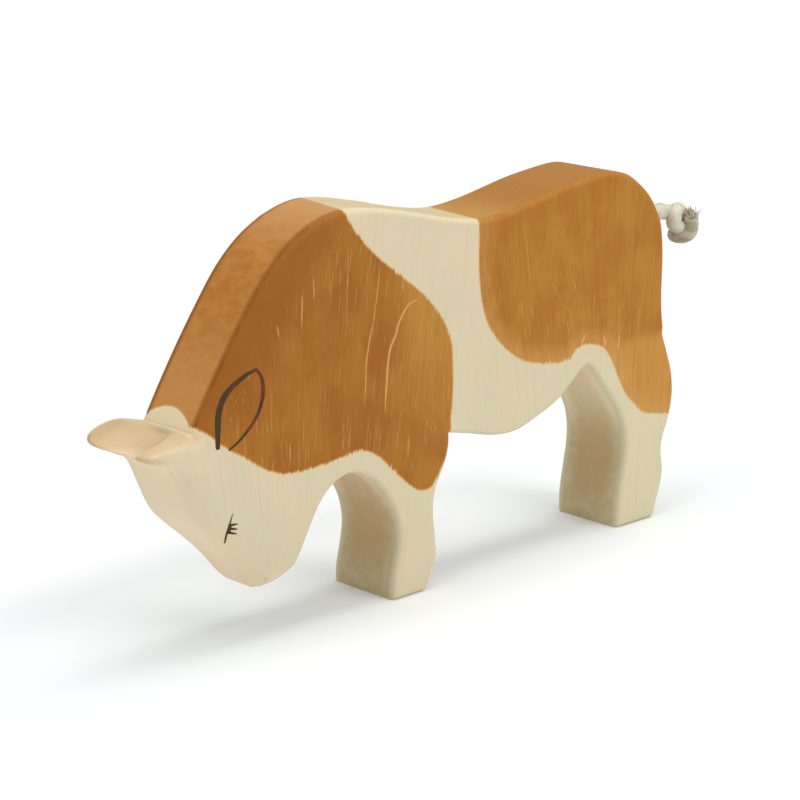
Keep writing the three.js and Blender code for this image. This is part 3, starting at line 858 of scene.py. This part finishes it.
def laid_cord(name, line, radius, material, relief=0.05, lay=11.0, around=72):
    """A cord of three strands about a middle line, closed at both ends.

    At each place the radius dips where two strands meet: it is the given radius, less the relief times the
    square root of the distance to the nearest strand's crown. The strands turn once round in every lay
    length. The UV map counts strands round the cord and lays along it, for the yarns of the material.
    """
    run = np.r_[0, np.cumsum(np.linalg.norm(np.diff(line, axis=0), axis=1))]
    turn = np.linspace(0, 2 * np.pi, around, endpoint=False)
    radius = np.broadcast_to(radius, run.shape)[:, None]
    phase = STRANDS * (turn[None] - 2 * np.pi * run[:, None] / lay) / 2
    reach = radius * (1 - relief * (1 - np.abs(np.cos(phase)))**1.3)
    rings, start = len(line), len(line) * around
    j = np.arange(around)
    k = (j + 1) % around
    first_cap = np.column_stack([np.full(around, start), k, j])
    last_cap = np.column_stack([np.full(around, start + 1), start - around + j, start - around + k])
    every = np.vstack([tube_points(line, turn, reach).reshape(-1, 3), line[:1], line[-1:]])
    faces = [*tube_faces(rings, around), *first_cap.tolist(), *last_cap.tolist()]
    piece = new_piece(name, every, faces, material)
    round_it = np.r_[np.tile(turn / (2 * np.pi), rings), 0, 0]
    along_it = np.r_[np.repeat(run / lay, around), 0, run[-1] / lay]
    uv = piece.data.uv_layers.new(name="cord")
    corner_point = np.empty(len(piece.data.loops), np.int32)
    piece.data.loops.foreach_get("vertex_index", corner_point)
    u, v = round_it[corner_point], along_it[corner_point]
    loop_start = np.empty(len(piece.data.polygons), np.int32)
    piece.data.polygons.foreach_get("loop_start", loop_start)
    first_u = np.repeat(u[loop_start], np.diff(np.r_[loop_start, len(u)]))
    u = np.where(first_u - u > 0.5, u + 1, np.where(u - first_u > 0.5, u - 1, u))
    uv.data.foreach_set("uv", np.column_stack([u, v]).astype(np.float32).ravel())
    return piece


# %% Cotton yarn
# Undyed cotton is matt and off-white. Its yarns show as fine slanting ridges, with painted shade in the
# grooves between them, and the knot's later turns are painted darker as painted shade.
YARNS_ROUND, YARNS_IN_LAY = 21.0, 30.0

cotton, tree = new_material("cotton_cord")
place = node(tree, "TexCoord").outputs["Object"]
round_cord, along_cord, _ = node(tree, "SeparateXYZ", {0: node(tree, "UVMap", uv_map="cord")}).outputs
turns = sum_of(tree, (round_cord, YARNS_ROUND), (along_cord, YARNS_IN_LAY),
               (grain(tree, place, (1.4, 1.4, 1.4)), 0.9))
yarns = node(tree, "Math", {0: sum_of(tree, (turns, 2 * np.pi))}, operation="SINE")
fuzz = grain(tree, place, (0.35, 0.35, 0.35), 3.0, 0.7)
worn = grain(tree, place, (2.6, 2.6, 2.6), 3.0, 0.6)
off_white = laid_over(tree, "#E0DBCA", "#D0C7AE", (worn, 0.38, 0.66))
# Painted shade on the knot's lower turns.
knot_painted_shade = laid_over(tree, "#BDB196", "#8E8567", (worn, 0.42, 0.58))
off_white = laid_over(tree, off_white, knot_painted_shade, (along_cord, 2.85, 3.2, 0.0, 0.65))
# Painted shade in the grooves between the yarns.
off_white = laid_over(tree, off_white, "#B0A686", (yarns, -0.2, -1.0, 0.0, 0.2))
off_white = laid_over(tree, off_white, "#F3EFE2", (fuzz, 0.55, 0.75, 0.0, 0.3))
relief = sum_of(tree, (yarns, 0.06), (fuzz, 0.12))
bump = node(tree, "Bump", {"Height": relief, "Distance": MM, "Strength": 0.8})
give_surface(tree, {"Base Color": off_white, "Roughness": 0.92, "Specular IOR Level": 0.2,
                    "Sheen Weight": 0.25, "Sheen Roughness": 0.5, "Normal": bump})

# %% Frayed cotton
# The cut end has lost its twist. Its fibres lie in clumps, some paler and some darker, and show no yarns.
frayed, tree = new_material("frayed_cotton")
clumps = grain(tree, node(tree, "TexCoord").outputs["Object"], (1.1, 1.1, 1.6))
fibre_colour = laid_over(tree, "#D8CDB4", "#9D9276", (clumps, 0.35, 0.65))
give_surface(tree, {"Base Color": fibre_colour, "Roughness": 0.95, "Specular IOR Level": 0.15,
                    "Sheen Weight": 0.2})

# %% The route of the tail
KNOT_CENTRE = np.array([101.4, -1.2, 75.7])
KNOT_TURN = np.radians(44)
VIEW_TILT = np.radians(15.4)
KNOT_CORD_RADIUS = 2.1
KNOT_OVERLAP = 0.6
KNOT_AXES = np.array([[np.sin(KNOT_TURN), -np.cos(KNOT_TURN), 0], [0, 0, 1 / np.cos(VIEW_TILT)],
                      [np.cos(KNOT_TURN), np.sin(KNOT_TURN), -np.tan(VIEW_TILT)]])
KNOT_TURNS = [
    (-3.9, 2.75, -1.3), (-1.6, 2.5, 0.9), (0.9, 1.9, 2.2), (2.4, 0.4, 2.2), (1.7, -1.2, 0.6),
    (-0.4, -1.2, -1.9), (-2.0, -0.3, -3.2), (-2.1, 1.5, -3.4), (-1.6, 3.0, -2.0), (-0.6, 3.2, 0.2),
    (0.3, 1.6, 2.0), (-0.2, -1.0, 2.2), (-1.2, -2.6, 1.0), (-1.4, -3.1, -0.9), (0.3, -3.5, -2.1),
    (2.0, -2.5, -2.4), (2.5, -0.7, -2.2), (2.3, 0.9, -2.0),
]
TAIL_ROUTE = [(65.4, 0, 80), (74.8, 0, 80), (82.2, 0, 80), (87.26, 0.05, 79.75), (91.4, 0.2, 79.6),
              (94.6, 0.4, 79.6)]
tail_line = smooth_line(TAIL_ROUTE, 0.25)
onward = (tail_line[-1] - tail_line[-2]) / np.linalg.norm(tail_line[-1] - tail_line[-2])
around_knot = KNOT_CENTRE + np.array(KNOT_TURNS) @ KNOT_AXES
knot_line = smooth_line([tail_line[-1] - KNOT_OVERLAP * onward, *around_knot], 0.2)
print("tail: %.1f mm to the knot, %.1f mm of cord in the knot" % (
    np.linalg.norm(np.diff(tail_line, axis=0), axis=1).sum(),
    np.linalg.norm(np.diff(knot_line, axis=0), axis=1).sum()))

# %% The cord, the knot and the frayed end
tail = laid_cord("tail_cord_laid", tail_line, CORD_RADIUS, cotton)
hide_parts("tail_cord")

share = np.linspace(0, 1, len(knot_line))
knot_radius = KNOT_CORD_RADIUS + (CORD_RADIUS - KNOT_CORD_RADIUS) * smooth_step(0.06, 0.0, share)
knot = laid_cord("tail_knot_tied", knot_line, knot_radius, cotton)
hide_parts("tail_knot")

FRAY_LENGTH = 4.3
FRAY_COUNT = 230
FRAY_RADIUS = 1.9
FRAY_ROOT = 0.8
FIBRE_RADIUS = 0.14
STRAY_EVERY = 29
SIDES, STEPS = 5, 9
chance = np.random.default_rng(7)
away = knot_line[-1] - knot_line[-4]
away /= np.linalg.norm(away)
side_a = np.cross(away, (0, 0, 1.0))
side_a /= np.linalg.norm(side_a)
side_b = np.cross(away, side_a)
root = knot_line[-1] - FRAY_ROOT * away
t = np.linspace(0, 1, STEPS)[:, None]
ring = np.linspace(0, 2 * np.pi, SIDES, endpoint=False)
fray_places, fray_faces = [], []
for fibre in range(FRAY_COUNT):
    start_r = FRAY_RADIUS * np.sqrt(chance.random())
    turn = 2 * np.pi * chance.random()
    out = np.cos(turn) * side_a + np.sin(turn) * side_b
    length = FRAY_LENGTH * (0.4 + 0.6 * chance.random()) * (1 - 0.3 * (start_r / FRAY_RADIUS)**2)
    spread = 0.35 * (chance.random() - 0.45) * start_r / FRAY_RADIUS + 0.7 * (fibre % STRAY_EVERY == 0)
    curl = chance.normal(size=3) * 0.4
    line = root + out * start_r + t * length * away + out * spread * length * t**1.6 + curl * t**2
    thickness = FIBRE_RADIUS * (0.8 + 0.5 * chance.random()) * (1 - 0.5 * t)
    fray_places.append(tube_points(line, ring, thickness).reshape(-1, 3))
    start = fibre * SIDES * STEPS
    fray_faces += tube_faces(STEPS, SIDES, start)
    fray_faces += [list(range(start, start + SIDES))[::-1],
                   list(range(start + (STEPS - 1) * SIDES, start + STEPS * SIDES))]
fray = new_piece("tail_frayed_end", np.vstack(fray_places), fray_faces, frayed)
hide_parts("tail_tuft")

# %% The glue in the bore
# Wood glue cures to a cloudy amber with a dull shine.
glue, tree = new_material("wood_glue")
cloudy = grain(tree, node(tree, "TexCoord").outputs["Object"], (1.5, 1.5, 1.5))
bump = node(tree, "Bump", {"Height": cloudy, "Distance": MM, "Strength": 0.3})
give_surface(tree, {"Base Color": laid_over(tree, "#D9C58A", "#E8DDB4", cloudy), "Roughness": 0.35,
                    "Normal": bump})
glue_node = bpy.data.objects["tail_glue"]
glue_node.data.materials.clear()
glue_node.data.materials.append(glue)

# %% [markdown]
# ## The stand and the light
#
# The bull stands on a white sheet under a long lamp overhead, as in a product picture. The lamp is as narrow
# as the shadow is: the shadow lies as one streak under the body. A second lamp fills the near flank, and the
# sheet throws light back up under the belly. Away from the shadow's oval the sheet is plain white.

# %% Floor
floor_mesh = bpy.data.meshes.new("white_sheet")
floor_mesh.from_pydata([(-3, -3, 0), (3, -3, 0), (3, 3, 0), (-3, 3, 0)], [], [(0, 1, 2, 3)])
floor = bpy.data.objects.new("white_sheet", floor_mesh)
bpy.context.scene.collection.objects.link(floor)
WHITE = {"Color": (1, 1, 1, 1), "Strength": 1.0}
OVAL_SHAPE = (0.9, 3.0, 0.0)
OVAL_FADE = (0.13, 0.205)
paper, tree = new_material("white_paper")
matt = node(tree, "BsdfPrincipled", {"Base Color": linear("#F3F4F6"), "Roughness": 0.9,
                                     "Specular IOR Level": 0.1})
place = node(tree, "TexCoord").outputs["Object"]
oval = node(tree, "VectorMath", {0: place, 1: OVAL_SHAPE}, operation="MULTIPLY")
distance = node(tree, "VectorMath", {0: oval}, operation="LENGTH").outputs["Value"]
rays = node(tree, "LightPath").outputs
seen = node(tree, "Math", {0: rays["Is Glossy Ray"], 1: rays["Is Transmission Ray"]}, operation="MAXIMUM")
seen = node(tree, "Math", {0: rays["Is Camera Ray"], 1: seen}, operation="MAXIMUM")
lift = node(tree, "Emission", {"Color": linear("#F0F8FA"), "Strength": share_of(tree, seen, 0.04)})
lit = node(tree, "AddShader", {0: matt, 1: lift})
share = share_of(tree, seen, (distance, *OVAL_FADE))
both = node(tree, "MixShader", {0: share, 1: lit, 2: node(tree, "Emission", WHITE)})
node(tree, "OutputMaterial", {"Surface": both})
floor_mesh.materials.append(paper)

# %% Lamps and the white surround
def lamp(name, place, aim, size, watts, colour="#FFFFFF"):
    """A soft lamp of the given length and width at a place, turned to shine at another."""
    light = bpy.data.lights.new(name, "AREA")
    light.shape = "RECTANGLE"
    light.size, light.size_y = size
    light.energy = watts
    light.color = linear(colour)[:3]
    made = bpy.data.objects.new(name, light)
    bpy.context.scene.collection.objects.link(made)
    made.location = place
    made.rotation_euler = (Vector(aim) - Vector(place)).to_track_quat("-Z", "Y").to_euler()


lamp("overhead_strip", (0.02, 0.0, 0.8), (0.02, 0, 0), (1.3, 0.36), 4.2, "#FFFCF5")
lamp("fill", (0.3, -0.85, 0.7), (0, 0, 0.05), (0.7, 0.7), 4.7, "#FFFCF5")

world = bpy.data.worlds.new("white_surround")
bpy.context.scene.world = world
world.use_nodes = True
tree = world.node_tree
tree.nodes.clear()
seen = node(tree, "LightPath").outputs["Is Camera Ray"]
dim = node(tree, "Background", {"Color": linear("#E9F5FB"), "Strength": 0.56})
either = node(tree, "MixShader", {0: seen, 1: dim, 2: node(tree, "Background", WHITE)})
node(tree, "OutputWorld", {"Surface": either})
bpy.context.scene.view_settings.view_transform = "Standard"
